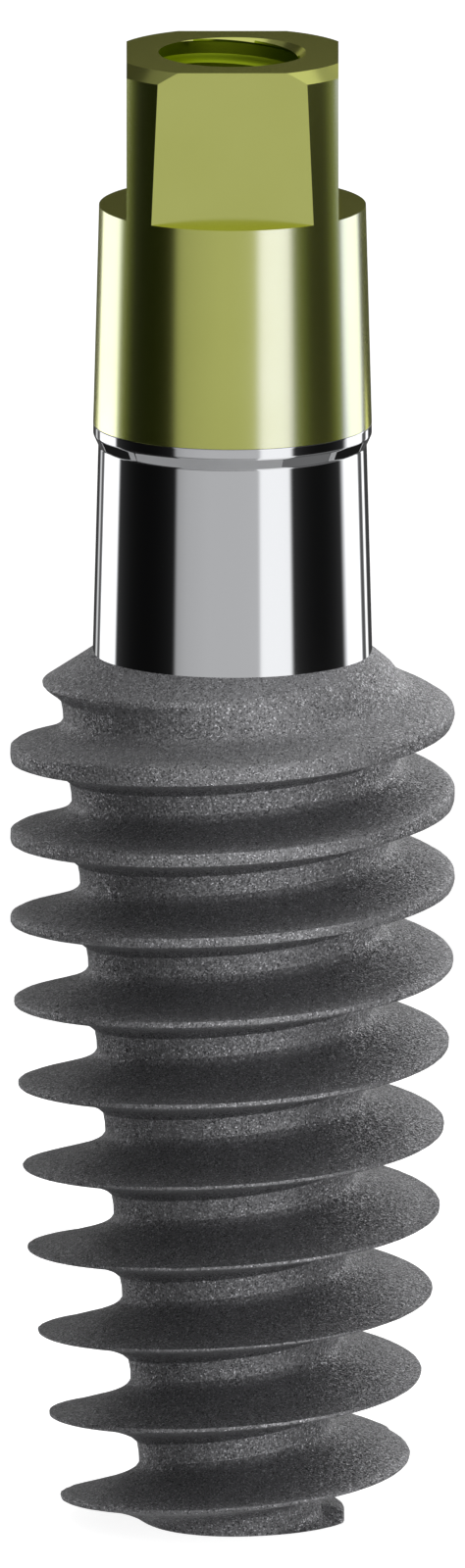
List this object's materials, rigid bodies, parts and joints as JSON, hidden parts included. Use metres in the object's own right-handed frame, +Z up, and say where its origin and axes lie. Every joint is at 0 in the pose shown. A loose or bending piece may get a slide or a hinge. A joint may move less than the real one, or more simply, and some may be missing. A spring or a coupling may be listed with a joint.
{
  "type": "dental implant",
  "caption": "Tapered screw implant for the jaw with a polished collar and a rough coarse-threaded body, carrying a square-headed tapered abutment with a threaded hole in its head.",
  "frame": {"origin": "centre of the flat tip of the screw body", "axes": "+Z up the axis of the implant, from the tip to the abutment's head; the square's flats face +X, -X, +Y and -Y"},
  "size_m": [0.0048, 0.0048, 0.0162],
  "materials": {
    "blasted_titanium": "grit-blasted and etched titanium, matt dark grey",
    "polished_titanium": "polished titanium",
    "anodised_titanium": "polished titanium anodised yellow-green gold"
  },
  "bodies": {
    "implant": {"implant_body": "blasted_titanium"},
    "abutment": {"square_abutment": "anodised_titanium"}
  },
  "joints": [
    {"name": "abutment_lift", "type": "slide", "parent": "implant", "child": "abutment", "axis": [0, 0, 1], "range_m": [0, 0.0055]}
  ]
}
